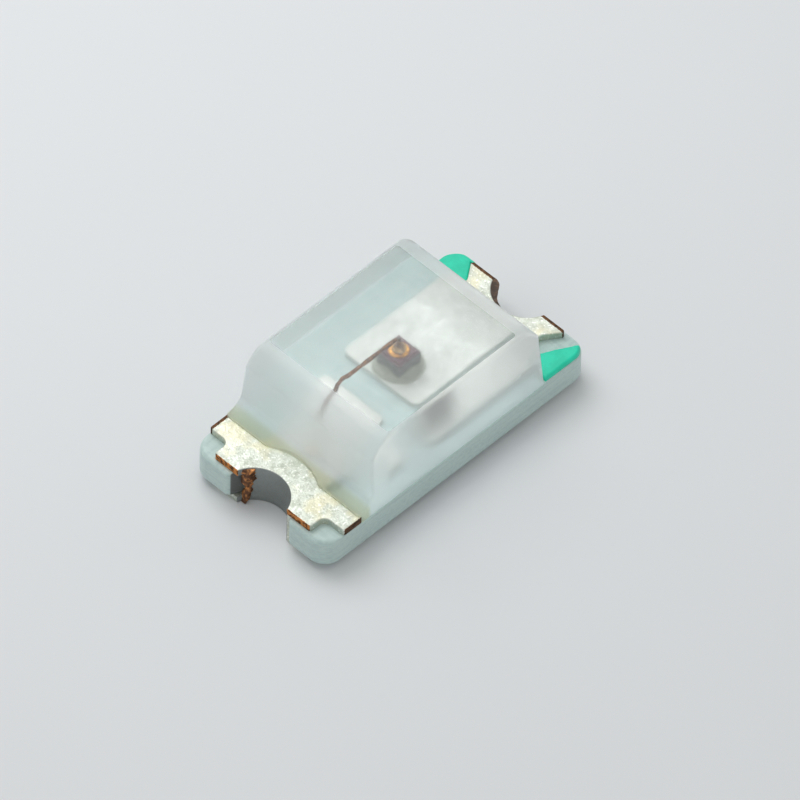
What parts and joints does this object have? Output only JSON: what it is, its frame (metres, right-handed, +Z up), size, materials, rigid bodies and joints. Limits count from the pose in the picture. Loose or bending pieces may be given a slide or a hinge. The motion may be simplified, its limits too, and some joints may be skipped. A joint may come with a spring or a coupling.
{
  "type": "smd led",
  "caption": "Chip light-emitting diode in the 1608 metric size: milky lens block on a laminate board with plated half-hole terminals, a wire-bonded die and green cathode marks.",
  "frame": {"origin": "in the middle of the part, halfway between its solder plane and the top of its lens", "axes": "+X along the board from the anode end to the cathode end, +Y across the board, +Z up out of the solder pads"},
  "size_m": [0.0016, 0.0008, 0.0006],
  "materials": {
    "laminate": "satin",
    "plating": "satin",
    "adhesive": "matte",
    "die": "gloss",
    "contact": "satin",
    "wire": "satin",
    "resin": "satin",
    "ink": "satin"
  },
  "bodies": {
    "root": {"laminate_board": "laminate", "anode_terminal": "plating", "cathode_terminal": "plating", "die_attach": "adhesive", "led_die": "die", "die_electrode": "contact", "bond_wire": "wire", "lens": "resin", "cathode_mark_left": "ink", "cathode_mark_right": "ink", "underside_arrow": "ink"}
  },
  "joints": []
}
